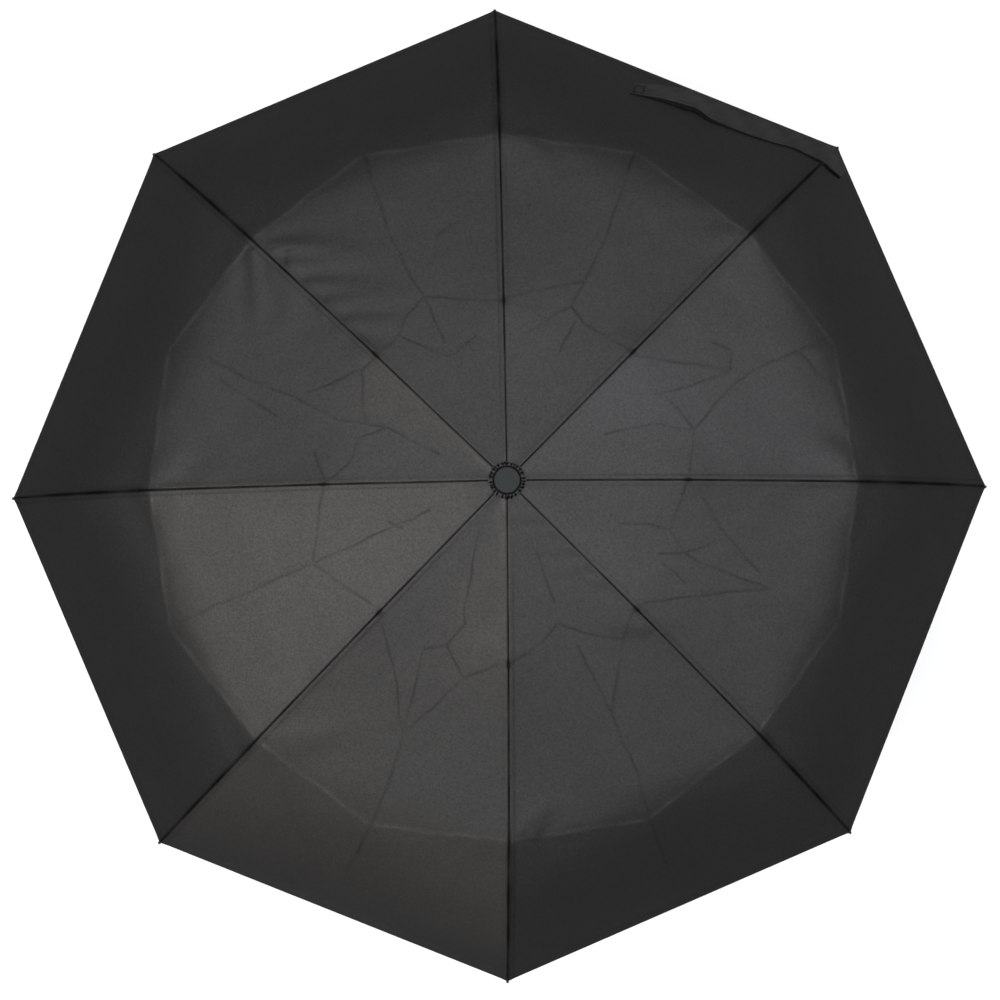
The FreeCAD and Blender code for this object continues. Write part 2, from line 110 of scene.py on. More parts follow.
def outer_rib_point(x, above):
    """A point above the outer rib, at a distance along its chord, as (radius, height)."""
    share = x / OUTER_RIB
    rise = ROD_RISE * (1 - share) + 4 * OUTER_BOW * share * (1 - share) + above
    c, s = math.cos(OUTER_SLOPE), math.sin(OUTER_SLOPE)
    return KNUCKLE_2[0] + x * c + rise * s, KNUCKLE_2[1] - x * s + rise * c


def rib_corners():
    """The corners of the cloth's line over a rib, from the crown to the hem."""
    # The offsets lift the cloth clear of the crown and of the knuckles' fittings
    points = [(FIRST_R, CROWN[1] + 6.4), (22.0, CROWN[1] + 5.6)]
    points.append((KNUCKLE_1[0] + 0.8, KNUCKLE_1[1] + 4.0))
    points.append((KNUCKLE_2[0] + 3.2, KNUCKLE_2[1] + 8.0))
    for share in np.linspace(0.1, 0.9, 9):
        points.append(outer_rib_point(share * OUTER_RIB, CLOTH_ABOVE_ROD))
    points.append(outer_rib_point(OUTER_RIB - HEM_SHORT, CLOTH_ABOVE_ROD))
    return np.array(points)


def along(points):
    """The length along a polyline at each of its points."""
    return np.concatenate([[0], np.cumsum(np.hypot(*np.diff(points, axis=0).T))])


def smoothed(values, spacing, width):
    """Gaussian smoothing down the rows, with the line carried on straight past its ends."""
    reach = int(3 * width / spacing)
    kernel = bell(np.arange(-reach, reach + 1) * spacing, width)
    kernel /= kernel.sum()
    before = 2 * values[0] - values[reach:0:-1]
    after = 2 * values[-1] - values[-2:-reach - 2:-1]
    padded = np.concatenate([before, values, after])
    return np.stack([np.convolve(padded[:, i], kernel, "valid") for i in (0, 1)], axis=1)


def softened(line, steps, knuckle, near, elsewhere):
    """A line smoothed by one width near the first knuckle and by another elsewhere."""
    spacing = steps[1] - steps[0]
    share = np.exp(-((steps - knuckle) / SOFTNESS_REACH) ** 2)[:, None]
    return share * smoothed(line, spacing, near) + (1 - share) * smoothed(line, spacing, elsewhere)


def sampled(line, places, wanted):
    return np.stack([np.interp(wanted, places, line[:, i]) for i in (0, 1)], axis=1)


def profiles():
    """The cloth's line over a rib and along a panel's middle at the same steps, and the steps."""
    corners = rib_corners()
    marks = along(corners)
    knuckle_1, knuckle_2, hem = marks[2], marks[3], marks[-1]
    fine = np.arange(0, hem + PROFILE_STEP, PROFILE_STEP)
    rib = softened(sampled(corners, marks, fine), fine, knuckle_1, *KNUCKLE_SOFTNESS)
    flat = math.cos(HALF_STEP)
    middle = np.stack([rib[:, 0] * flat, rib[:, 1]], axis=1)
    swell = PANEL_BULGE * bell(fine - knuckle_2, BULGE_REACH)
    dip = PANEL_DIP * bell(fine - knuckle_1, DIP_REACH)
    middle += np.stack([swell, -0.3 * swell - dip], axis=1)
    middle = softened(middle, fine, knuckle_1, *BEND_SOFTNESS)
    middle[:, 0] = np.maximum(middle[:, 0], FIRST_R * flat)
    rows = np.concatenate([
        np.linspace(0, knuckle_1, INNER_ROWS, endpoint=False),
        np.linspace(knuckle_1, knuckle_2, MIDDLE_ROWS, endpoint=False),
        np.linspace(knuckle_2, hem, OUTER_ROWS + 1),
    ])
    return sampled(rib, fine, rows), sampled(middle, fine, rows), rows


def half_columns(half_width):
    """Distances from the rib to the panel's middle, close together beside the seam."""
    seam = np.minimum(np.array(SEAM_COLUMNS), np.array(SEAM_COLUMNS) / SEAM_FULL_WIDTH * half_width)
    rest = np.linspace(seam[-1], half_width, PANEL_COLUMNS + 1)[1:]
    return np.concatenate([seam, rest])


def base_surface():
    """Points over half a panel, from rib 0 towards the panel's middle, by row and column, in mm."""
    rib, middle, rows = profiles()
    points = []
    for (rib_r, rib_z), (mid_r, mid_z) in zip(rib, middle):
        half = rib_r * math.sin(HALF_STEP)
        chord_r = rib_r * math.cos(HALF_STEP)
        share = half_columns(half) / (2 * half)
        pull = (4 * share * (1 - share)) ** 1.5
        out = chord_r + pull * (mid_r - chord_r)
        side = (share - 0.5) * 2 * half
        height = rib_z + pull * (mid_z - rib_z)
        c, s = math.cos(HALF_STEP), math.sin(HALF_STEP)
        points.append(np.stack([out * c - side * s, out * s + side * c, height], axis=1))
    return np.array(points), rows


# ---------- creases, wrinkles and seams, as height above the smooth shape, and their painted shading ---

RING_R = 337.0                       # the pressed ring's corner on a rib
RING_MIDDLE_R = 347.0                # and at the middle of a panel

# Creases pressed in by folding, by panel, as runs of (radius, degrees from the panel's first rib)
PACKING_CREASES = {
    0: [[(168, 44), (239, 26)], [(239, 26), (198, 27), (160, 30)], [(236, 34), (249, 30), (239, 26)],
        [(350, 24), (310, 24), (261, 24), (235, 23), (183, 15), (171, 2)],
        [(183, 15), (149, 21), (100, 25)], [(310, 24), (319, 19), (334, 16), (334, 9)],
        [(170, 28), (183, 15)]],
    1: [[(347, 23), (251, 22), (205, 23), (176, 24), (168, 27)], [(205, 23), (192, 29), (172, 45)],
        [(176, 24), (165, 18), (169, 1)], [(130, 22), (164, 21)], [(168, 27), (140, 36)]],
    2: [[(191, 23), (177, 13), (169, 0)], [(191, 23), (180, 31), (169, 36), (169, 43)],
        [(191, 23), (162, 23), (142, 23)], [(169, 35), (150, 31), (128, 24), (133, 16), (138, 11)],
        [(347, 22), (265, 24), (221, 24), (191, 23)], [(243, 15), (254, 9)]],
    3: [[(304, 21), (265, 22), (214, 22), (167, 24), (123, 20), (65, 23)],
        [(205, 20), (171, 6), (168, 1)], [(123, 20), (144, 28), (146, 37), (168, 44)],
        [(181, 35), (168, 44)], [(287, 24), (222, 28)], [(171, 6), (155, 14), (143, 21)]],
    4: [[(341, 22), (195, 22), (111, 21), (75, 20)], [(195, 22), (176, 8), (170, 2)],
        [(195, 22), (168, 43)], [(115, 18), (105, 24)]],
    5: [[(174, 2), (201, 13), (255, 22)], [(255, 22), (174, 18)], [(255, 22), (187, 32), (168, 43)],
        [(174, 18), (161, 24), (187, 32)], [(161, 24), (138, 28), (128, 26), (50, 14)],
        [(255, 22), (296, 23), (340, 23), (400, 22)]],
    6: [[(168, 44), (182, 36), (238, 24)], [(238, 24), (164, 23)], [(168, 1), (154, 11), (140, 19)],
        [(238, 24), (300, 24), (345, 23), (400, 23)], [(140, 19), (159, 27), (182, 36)],
        [(71, 22), (121, 21)]],
    7: [[(112, 24), (141, 28), (159, 28)], [(159, 28), (168, 44)],
        [(159, 28), (179, 23), (199, 22), (271, 23)], [(168, 2), (205, 13), (271, 23)],
        [(184, 40), (208, 32), (255, 25)], [(156, 19), (179, 23), (201, 28)],
        [(164, 17), (193, 15)]],
}
CREASE_WIDTH = 0.8
CREASE_HEIGHT = 0.16
CREASE_PAINTED_SHADE = 0.42                 # how strong the painted shade along a crease's line is
RING_HEIGHT = 0.3
RING_WIDTH = 1.1
RING_SHINE = 0.55                    # how strong the painted highlight along the ring's ridge is

# Soft folds in sets: (radius and degrees of the first one's root, heading, how far apart they are
# and in which direction, how many, length, width, height)
SOFT_FOLDS = (
    (322, 134.2, -4, 27, -45, 5, 118, 5.5, 1.7),
    (330, 135.8, -82, 17, -8, 3, 95, 5.0, 1.4),
    (48, 314, 178, 21, -45, 5, 62, 3.4, 1.0),
    (168, 314, 168, 24, -45, 2, 85, 5.5, 1.2),
    (330, 226, 10, 15, -70, 2, 100, 6.0, 1.1),
    (335, 271, 58, 13, -10, 2, 55, 4.5, 1.0),
    (335, 359, 216, 18, -80, 2, 90, 7.0, 0.5),
    (335, 1, 150, 15, 95, 2, 60, 6.0, 0.8),
    (335, 181, -60, 16, 20, 2, 60, 6.5, 0.5),
    (335, 179, 60, 16, 20, 2, 60, 6.5, 0.4),
    (335, 89, -62, 15, 20, 2, 60, 6.0, 0.9),
    (335, 46, 195, 15, 120, 1, 70, 6.0, 0.8),
)
FOLD_GAIN = 1.6                      # what every fold's height is multiplied by

SLACK_WAVES = ((67, 12), (49, 77), (38, 139), (31, 31), (24, 103))   # (length, heading in degrees)
SLACK_HEIGHT = 0.0013                # times each wave's length

SEAM_CALM = 7.0                      # creases and folds fade out this close to a seam
END_CALM = 12.0                      # and this close to the hem and the cap
TOP_CLEAR = 4.0                      # no relief this close to the opening under the cap


def plan(radius, degrees):
    a = math.radians(degrees)
    return np.array([radius * math.cos(a), radius * math.sin(a)])


def run_distance(points, start, end):
    """Each point's distance from a straight run in plan, and its place along it from 0 to 1."""
    way = end - start
    share = np.clip(((points - start) @ way) / (way @ way), 0, 1)
    return np.linalg.norm(points - start - share[..., None] * way, axis=-1), share


def pressed(points, start, end, width=CREASE_WIDTH):
    """A fine pressed line, from 0 beside it to 1 along it, that wanders a little and fades."""
    distance, share = run_distance(points, start, end)
    length = np.linalg.norm(end - start)
    wander = 0.9 * np.sin(share * length / 11.0 + start[0]) + 0.3 * np.sin(share * length / 3.7 + end[1])
    way = (end - start) / length
    offset = (points - start) @ np.array([-way[1], way[0]]) - wander * np.minimum(share, 1 - share) * 2
    inside = (share > 0) & (share < 1)
    distance = np.where(inside, np.abs(offset), distance)
    strength = 0.75 + 0.25 * np.sin(share * length / 11.0 + start[1])
    fade = np.clip(np.minimum(share, 1 - share) * 14 + 0.35, 0, 1)
    return strength * fade * bell(distance, width)


def packing_creases(points):
    """The creases' height, and how much painted shade each one's line gets."""
    height = np.zeros(points.shape[:-1])
    crease_shade_mask = np.zeros(points.shape[:-1])
    for panel, runs in PACKING_CREASES.items():
        turn = panel * math.degrees(RIB_STEP)
        for number, run in enumerate(runs):
            sign = -1 if (number + panel) % 3 else 1
            for (r0, a0), (r1, a1) in zip(run, run[1:]):
                line = pressed(points, plan(r0, turn + a0), plan(r1, turn + a1))
                height += sign * CREASE_HEIGHT * line
                crease_shade_mask = np.maximum(crease_shade_mask, line)
    return height, crease_shade_mask


def ring_crease(points):
    """The pressed ring round the second knuckles, with a corner in every panel, from 0 to 1."""
    line = np.zeros(points.shape[:-1])
    for k in range(2 * RIBS):
        ends = []
        for i in (k, k + 1):
            ends.append(plan(RING_MIDDLE_R if i % 2 else RING_R, i * math.degrees(HALF_STEP)))
        line = np.maximum(line, pressed(points, ends[0], ends[1], RING_WIDTH))
    return line


def soft_folds(points):
    """The soft folds' height: ridges that widen and fade, each with a hollow on one side."""
    height = np.zeros(points.shape[:-1])
    for radius, degrees, heading, step, step_to, count, length, width, peak in SOFT_FOLDS:
        ahead, across = plan(1, heading), plan(1, heading + 90)
        for i in range(count):
            away = points - plan(radius, degrees) - i * plan(step, step_to)
            share = (away @ ahead) / (length * (1 - 0.09 * i))
            inside = np.clip(share, 0, 1)
            taper = np.where((share > 0) & (share < 1), inside ** 0.5 * (1 - inside) ** 1.3 * 1.9, 0)
            bend = 6.0 * inside ** 2 * (1 if i % 2 else -0.6)
            offset = (away @ across - bend) / (width * (1 + 0.9 * inside))
            shape = bell(offset, 1) - 0.45 * bell(offset + 2.1, 1.1)
            height += FOLD_GAIN * peak * taper * shape
    return height


def slack(points):
    """Faint unevenness, as thin cloth shows between its ribs."""
    waves = np.zeros(points.shape[:-1])
    for number, (length, degrees) in enumerate(SLACK_WAVES):
        place = points @ plan(1, degrees)
        waves += np.sin(2 * math.pi * place / length + 1.7 * number) * length
    return waves * SLACK_HEIGHT


def seam_profile(distance, side):
    """The sewn seam over a rib: a stitched valley with the seam allowance's ridge on one side."""
    valley = -0.8 * bell(distance, 0.6)
    ridge = bell(distance - 2.6, 1.2) * np.where(side > 0, 0.22, 0.1)
    over_rib = 0.25 * bell(distance, 4.5)
    return valley + ridge + over_rib


def seam_painted_shade(distance, side, rows):
    """How much painted shade a point gets along the stitched seam, at its tie to the rib and at the seam
    allowance's edge.

    The seam is a thin line, tied to the rib at the first knuckle and gaping past the second.
    """
    along_rib = rows[:, None]
    past_knuckle = along_rib - rows[INNER_ROWS + MIDDLE_ROWS]
    gape = np.clip((past_knuckle + 25) / 45.0, 0, 1)
    gape = gape * np.exp(-np.clip(past_knuckle - 40, 0, None) / 120.0)
    uneven = 0.12 * np.sin(along_rib / 9.0) + 0.1 * np.sin(along_rib / 23.0 + 1)
    width = 0.5 + 0.3 * np.clip(along_rib / 160.0, 0, 1) + 1.0 * gape + 0.8 * uneven * gape
    seam = (0.95 + uneven) * bell(distance, width)
    allowance = 0.3 * bell(distance - 5.0, 0.7) * np.where(side > 0, 1, 0.35)
    tie = bell(along_rib - rows[INNER_ROWS], 3.0) * bell(distance, 2.2)
    return seam + 0.7 * tie + allowance * np.clip((along_rib - 40) / 60.0, 0, 1)


def hem_profile(to_hem):
    """The turned and stitched hem: a thicker edge with a line of stitching along it."""
    step = 0.45 / (1 + np.exp((to_hem - HEM_WIDTH) / 0.7))
    stitched = -0.3 * bell(to_hem - HEM_WIDTH + 2.2, 0.7)
    return step + stitched


def relief(in_plan, distance, side, rows):
    """The height of the creases, folds and seams over the smooth cloth, and their painted shading: painted shade
    in creases, seams and the hem's edge, a painted highlight on the ring's ridge.
    """
    from_top = rows[:, None] - TOP_CLEAR
    to_hem = rows[-1] - rows
    creases, crease_shade_mask = packing_creases(in_plan)
    ring = ring_crease(in_plan)
    calm = np.clip(distance / SEAM_CALM, 0, 1) * np.clip(to_hem[:, None] / END_CALM, 0, 1)
    calm *= np.clip(from_top / END_CALM, 0, 1)
    below_top = np.clip(from_top / TOP_CLEAR, 0, 1)
    height = (creases + RING_HEIGHT * ring + soft_folds(in_plan) + slack(in_plan)) * calm
    height += below_top * seam_profile(distance, side) + hem_profile(to_hem)[:, None]
    # Painted shade along the seams
    seams = below_top * seam_painted_shade(distance, side, rows)
    # Painted shade along the creases' lines, added to the seams'
    painted_shading = np.clip(CREASE_PAINTED_SHADE * crease_shade_mask * calm + seams, 0, 1)
    # A painted highlight along the ring crease's ridge
    painted_shading -= RING_SHINE * ring * calm * (1 - painted_shading)
    # Painted shade on the hem's turned edge
    painted_shading[to_hem < HEM_EDGE] = HEM_PAINTED_SHADE
    return height, painted_shading


# ---------- building the cloth ----------

def turned(points, angle):
    c, s = math.cos(angle), math.sin(angle)
    out = points.copy()
    out[..., 0] = points[..., 0] * c - points[..., 1] * s
    out[..., 1] = points[..., 0] * s + points[..., 1] * c
    return out


def grid_normals(points):
    down = np.gradient(points, axis=0)
    sideways = np.gradient(points, axis=1)
    normals = np.cross(down, sideways)
    normals /= np.maximum(np.linalg.norm(normals, axis=-1, keepdims=True), 1e-9)
    return np.where(normals[..., 2:] < 0, -normals, normals)


def closed_normals(rings):
    """The normals of rings of points that close on themselves."""
    wrapped = np.concatenate([rings[:, -2:], rings, rings[:, :2]], axis=1)
    return grid_normals(wrapped)[:, 2:-2]


def whole_cloth():
    """The cloth round all ribs by row and column, the painted shading at each point, and its steps."""
    half, rows = base_surface()
    mirrored = turned(half[:, ::-1] * np.array([1, -1, 1]), RIB_STEP)
    panel = np.concatenate([half, mirrored[:, 1:]], axis=1)
    to_seam = np.linalg.norm(half - half[:, :1], axis=-1)
    distance = np.concatenate([to_seam, to_seam[:, ::-1][:, 1:]], axis=1)
    per_panel = panel.shape[1] - 1
    surface = np.concatenate([turned(panel[:, :-1], k * RIB_STEP) for k in range(RIBS)], axis=1)
    side = np.where(np.arange(per_panel) < per_panel // 2, 1, -1)
    distance, side = np.tile(distance[:, :-1], (1, RIBS)), np.tile(side, RIBS)
    height, painted_shading = relief(surface[..., :2], distance, side, rows)
    return surface + height[..., None] * closed_normals(surface), painted_shading, rows, per_panel


def sheet_mesh(name, top, normals, thickness):
    """A closed thin sheet from a grid of points, smooth across to its neighbours."""
    rows, columns = top.shape[:2]
    bottom = top - normals * thickness
    points = np.concatenate([top.reshape(-1, 3), bottom.reshape(-1, 3)]) * MM
    index = np.arange(rows * columns).reshape(rows, columns)
    a, b = index[:-1, :-1].ravel(), index[1:, :-1].ravel()
    c, d = index[1:, 1:].ravel(), index[:-1, 1:].ravel()
    under = rows * columns
    faces = [np.stack([a, b, c, d], axis=1), np.stack([d, c, b, a], axis=1) + under]
    rim = np.concatenate([index[:, 0], index[-1, 1:], index[-2::-1, -1], index[0, -2:0:-1]])
    after = np.roll(rim, -1)
    faces.append(np.stack([rim, rim + under, after + under, after], axis=1))
    faces = np.concatenate(faces)
    mesh = bpy.data.meshes.new(name)
    mesh.from_pydata(points.tolist(), [], faces.tolist())
    mesh.polygons.foreach_set("use_smooth", np.ones(len(faces), bool))
    mesh.update()
    at_vertex = np.concatenate([normals.reshape(-1, 3), -normals.reshape(-1, 3)])
    corner = np.empty(len(mesh.loops), np.int32)
    mesh.loops.foreach_get("vertex_index", corner)
    at_corner = at_vertex[corner]
    rim_corners = 4 * (len(faces) - len(rim))
    outward = np.cross(points[rim + under] - points[rim], points[after] - points[rim])
    outward /= np.maximum(np.linalg.norm(outward, axis=1, keepdims=True), 1e-12)
    at_corner[rim_corners:] = np.repeat(outward, 4, axis=0)
    mesh.normals_split_custom_set(at_corner.tolist())
    return mesh


def add_painted_shading(mesh, painted_shading):
    """Stores each point's painted shading: from 0 to 1 for painted shade in a seam or crease, or below 0 for a
    painted highlight on a bright ridge.
    """
    layer = mesh.attributes.new("painted_shading", "FLOAT", "POINT")
    layer.data.foreach_set("value", np.concatenate([painted_shading.ravel(), painted_shading.ravel()]))


def add_cloth_uv(mesh, across, down):
    """Lengths along the cloth, in metres, as its UV map, so that the weave runs with each panel."""
    flat = np.stack([across.ravel(), down.ravel()], axis=1) * MM
    both = np.concatenate([flat, flat])
    corner = np.empty(len(mesh.loops), np.int32)
    mesh.loops.foreach_get("vertex_index", corner)
    layer = mesh.uv_layers.new(name="cloth")
    layer.data.foreach_set("uv", both[corner].ravel())


def add_piece(name, mesh, material, body):
    piece = bpy.data.objects.new(name, mesh)
    bpy.context.scene.collection.objects.link(piece)
    mesh.materials.append(material)
    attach(piece, body)
    return piece


def across_lengths(grid):
    """The length along each row of a grid at each of its points."""
    return np.cumsum(np.linalg.norm(np.diff(grid, axis=1, prepend=grid[:, :1]), axis=-1), axis=1)


def gather(piece):
    """Gives a piece its own copy of its mesh."""
    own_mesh(piece)


# The canopy's pieces on each rib: (name, body, first row, last row, share of the width kept folded)
ZONES = (
    ("crown", "top_rib", 0, INNER_ROWS, 0.12),
    ("shoulder", "middle_rib", INNER_ROWS, INNER_ROWS + MIDDLE_ROWS, 0.08),
    ("skirt", "outer_rib", INNER_ROWS + MIDDLE_ROWS, INNER_ROWS + MIDDLE_ROWS + OUTER_ROWS, 0.06),
)


def build_canopy(material, cloth, painted_shading, rows, per_panel):
    """The canopy, cut midway between the ribs and at the knuckles."""
    normals = closed_normals(cloth)
    half = per_panel // 2
    for k in range(RIBS):
        taken = np.arange(k * per_panel - half, k * per_panel + half + 1) % cloth.shape[1]
        for zone, rib_part, first, last, keep in ZONES:
            body = "%s_%d" % (rib_part, k)
            top, facing = cloth[first:last + 1][:, taken], normals[first:last + 1][:, taken]
            mesh = sheet_mesh("canopy_%s_%d" % (zone, k), top, facing, CLOTH)
            down = np.repeat(rows[first:last + 1, None], len(taken), axis=1)
            add_cloth_uv(mesh, across_lengths(top), down)
            add_painted_shading(mesh, painted_shading[first:last + 1][:, taken])
            piece = add_piece(mesh.name, mesh, material, body)
            gather(piece)
    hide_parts("canopy")


# ---------- materials ----------

def new_material(name, colour, roughness, **sockets):
    """A material with one Principled shader, and its node tree and shader."""
    material = bpy.data.materials.new(name)
    material.use_nodes = True
    tree = material.node_tree
    shader = tree.nodes["Principled BSDF"]
    shader.inputs["Base Color"].default_value = (*colour, 1)
    shader.inputs["Roughness"].default_value = roughness
    for socket, value in sockets.items():
        shader.inputs[socket.replace("_", " ")].default_value = value
    return material, tree, shader


def node(tree, kind, inputs=None, **settings):
    made = tree.nodes.new(kind)
    for key, value in settings.items():
        setattr(made, key, value)
    for key, value in (inputs or {}).items():
        if isinstance(value, bpy.types.NodeSocket):
            tree.links.new(value, made.inputs[key])
        else:
            made.inputs[key].default_value = value
    return made


def maths(tree, operation, a, b=0.0):
    return node(tree, "ShaderNodeMath", {0: a, 1: b}, operation=operation).outputs[0]


def noise(tree, vector, scale, detail=3.0, roughness=0.55):
    inputs = {"Vector": vector, "Scale": scale, "Detail": detail, "Roughness": roughness}
    return node(tree, "ShaderNodeTexNoise", inputs).outputs["Fac"]


def scaled(tree, vector, factors):
    return node(tree, "ShaderNodeVectorMath", {0: vector, 1: factors}, operation="MULTIPLY").outputs[0]


def object_place(tree):
    return node(tree, "ShaderNodeTexCoord").outputs["Object"]


def colour_between(tree, factor, dark, light):
    """A colour that runs from dark to light as factor goes from 0.3 to 0.7."""
    ramp = node(tree, "ShaderNodeValToRGB", {"Fac": factor})
    ramp.color_ramp.elements[0].position = 0.3
    ramp.color_ramp.elements[1].position = 0.7
    ramp.color_ramp.elements[0].color = (*dark, 1)
    ramp.color_ramp.elements[1].color = (*light, 1)
    return ramp.outputs["Color"]


def between(tree, factor, low, high):
    """A value that runs from low to high as factor goes from 0.25 to 0.75."""
    inputs = {"Value": factor, "From Min": 0.25, "From Max": 0.75, "To Min": low, "To Max": high}
    return node(tree, "ShaderNodeMapRange", inputs).outputs["Result"]


def bump(tree, shader, height, distance, strength=1.0):
    made = node(tree, "ShaderNodeBump", {"Height": height, "Distance": distance, "Strength": strength})
    tree.links.new(made.outputs["Normal"], shader.inputs["Normal"])


THREAD_PITCH = 0.55 * MM
PAINTED_SHADING_STRENGTH = 0.85                  # how much of the cloth's colour and lustre a full painted shade takes away


def woven_height(tree, vector):
    """The height of a plain weave: warp over weft in turn, each thread rounded."""
    parts = node(tree, "ShaderNodeSeparateXYZ", {"Vector": vector})
    turns = [maths(tree, "MULTIPLY", parts.outputs[i], math.pi / THREAD_PITCH) for i in (0, 1)]
    warp, weft = (maths(tree, "ABSOLUTE", maths(tree, "SINE", t)) for t in turns)
    over = maths(tree, "MULTIPLY", maths(tree, "SINE", turns[0]), maths(tree, "SINE", turns[1]))
    return maths(tree, "ADD", maths(tree, "MULTIPLY", warp, weft), maths(tree, "MULTIPLY", over, 0.5))


def cloth_material():
    """Black polyester pongee: fine plain weave, uneven yarn, and a soft lustre on level parts."""
    material, tree, shader = new_material(
        "cloth", (0.012, 0.012, 0.0125), 0.4, Specular_IOR_Level=0.36)
    lengths = node(tree, "ShaderNodeUVMap", uv_map="cloth").outputs["UV"]
    place = object_place(tree)
    yarn = noise(tree, scaled(tree, lengths, (900, 160, 1)), 1.0, 2.0)
    blotch = noise(tree, place, 9.0, 4.0)
    mixed = maths(tree, "ADD", maths(tree, "MULTIPLY", yarn, 0.5), maths(tree, "MULTIPLY", blotch, 0.5))
    tint = colour_between(tree, mixed, (0.0055, 0.0055, 0.0057), (0.0090, 0.0090, 0.0091))
    # Painted shading: seams, creases, pleats and the hem's edge are painted darker in colour and lustre; the
    # ring's ridge and the strap's face are painted lighter
    painted_shading = node(tree, "ShaderNodeAttribute", attribute_name="painted_shading").outputs["Fac"]
    painted_light_factor = maths(tree, "SUBTRACT", 1.0, maths(tree, "MULTIPLY", painted_shading, PAINTED_SHADING_STRENGTH))
    shade = node(tree, "ShaderNodeVectorMath", {0: tint}, operation="SCALE")
    tree.links.new(painted_light_factor, shade.inputs["Scale"])
    tree.links.new(shade.outputs[0], shader.inputs["Base Color"])
    tree.links.new(between(tree, mixed, 0.42, 0.36), shader.inputs["Roughness"])
    speckle = between(tree, noise(tree, place, 420.0, 6.0, 0.85), 0.17, 0.55)
    tree.links.new(maths(tree, "MULTIPLY", speckle, painted_light_factor), shader.inputs["Specular IOR Level"])
    fuzz = noise(tree, place, 700.0, 2.0)
    weave = maths(tree, "ADD", woven_height(tree, lengths), maths(tree, "MULTIPLY", fuzz, 1.2))
    bump(tree, shader, weave, 0.05 * MM, 0.6)
    return material


def grained_plastic():
    material, tree, shader = new_material("plastic", (0.028, 0.031, 0.032), 0.6, Specular_IOR_Level=0.12)
    place = object_place(tree)
    grain = noise(tree, place, 1900.0, 2.0)
    worn = noise(tree, place, 60.0, 3.0)
    tree.links.new(between(tree, worn, 0.56, 0.7), shader.inputs["Roughness"])
    tint = colour_between(tree, worn, (0.015, 0.0175, 0.0178), (0.019, 0.0215, 0.0218))
    tree.links.new(tint, shader.inputs["Base Color"])
    bump(tree, shader, grain, 0.06 * MM, 0.7)
    return material


def soft_grip():
    material, tree, shader = new_material("soft_grip", (0.016, 0.016, 0.017), 0.72, Specular_IOR_Level=0.35)
    place = object_place(tree)
    fine = noise(tree, place, 3200.0, 2.0)
    wear_and_sheen = noise(tree, place, 45.0, 4.0)
    tree.links.new(between(tree, wear_and_sheen, 0.62, 0.8), shader.inputs["Roughness"])
    tint = colour_between(tree, wear_and_sheen, (0.014, 0.014, 0.015), (0.022, 0.022, 0.0225))
    tree.links.new(tint, shader.inputs["Base Color"])
    bump(tree, shader, fine, 0.04 * MM, 0.6)
    return material


def drawn_steel():
    """Bright tube and wire, with fine draw lines along the shaft."""
    material, tree, shader = new_material("drawn_steel", (0.56, 0.565, 0.575), 0.26, Metallic=1.0)
    place = object_place(tree)
    lines = noise(tree, scaled(tree, place, (2600, 2600, 22)), 1.0, 3.0)
    smear = noise(tree, place, 26.0, 3.0)
    tree.links.new(between(tree, lines, 0.2, 0.36), shader.inputs["Roughness"])
    tint = colour_between(tree, smear, (0.50, 0.505, 0.515), (0.61, 0.615, 0.62))
    tree.links.new(tint, shader.inputs["Base Color"])
    bump(tree, shader, lines, 0.015 * MM, 0.5)
    return material


def enamelled_steel():
    material, tree, shader = new_material(
        "enamel", (0.012, 0.012, 0.013), 0.3, Coat_Weight=0.25, Coat_Roughness=0.2)
    place = object_place(tree)
    peel = noise(tree, place, 420.0, 2.0)
    scuffed = noise(tree, place, 75.0, 5.0, 0.7)
    tree.links.new(between(tree, scuffed, 0.26, 0.5), shader.inputs["Roughness"])
    tint = colour_between(tree, scuffed, (0.010, 0.010, 0.011), (0.024, 0.024, 0.025))
    tree.links.new(tint, shader.inputs["Base Color"])
    bump(tree, shader, peel, 0.04 * MM, 0.5)
    return material


def glass_fibre():
    """Black pultruded rod, with its fibres showing as fine streaks."""
    material, tree, shader = new_material(
        "glass_fibre", (0.014, 0.014, 0.015), 0.34, Specular_IOR_Level=0.5)
    place = object_place(tree)
    streaks = noise(tree, scaled(tree, place, (1500, 1500, 120)), 1.0, 3.0)
    tree.links.new(between(tree, streaks, 0.26, 0.46), shader.inputs["Roughness"])
    tint = colour_between(tree, streaks, (0.011, 0.011, 0.012), (0.024, 0.024, 0.025))
    tree.links.new(tint, shader.inputs["Base Color"])
    bump(tree, shader, streaks, 0.03 * MM, 0.5)
    return material


def finish_cad_nodes(materials):
    """Gives every CAD node the material of its slot in the record."""
    for part in frame["record"]["subparts"]:
        shown = frame["nodes"][part["node"]]
        shown.data.materials.clear()
        shown.data.materials.append(materials[part["material_slot"]])


# ---------- small sewn pieces ----------

ROSETTE_PLEATS = 27
ROSETTE_R = 12.3                     # its inner edge, under the cap
ROSETTE_REACH = 4.8                  # how far it stands out from there
ROSETTE_RINGS = 12


def rosette_ring(share, turn, fold, wave):
    """One ring of the rosette, at a share of the way from its inner edge to its outer one."""
    uneven = 0.45 * np.sin(3 * turn + 0.6) + 0.5 * wave
    radius = ROSETTE_R + ROSETTE_REACH * share + share * uneven
    crest = 1.5 * math.sin(math.pi * min(1.0, share * 1.15)) * (1 - 0.3 * share)
    height = CROWN[1] + 8.2 - 0.9 * share + crest + fold * (0.25 + 0.65 * share)
    angle = turn + 0.05 * share * np.sin(2 * ROSETTE_PLEATS * turn)
    return np.stack([radius * np.cos(angle), radius * np.sin(angle), height], axis=1)


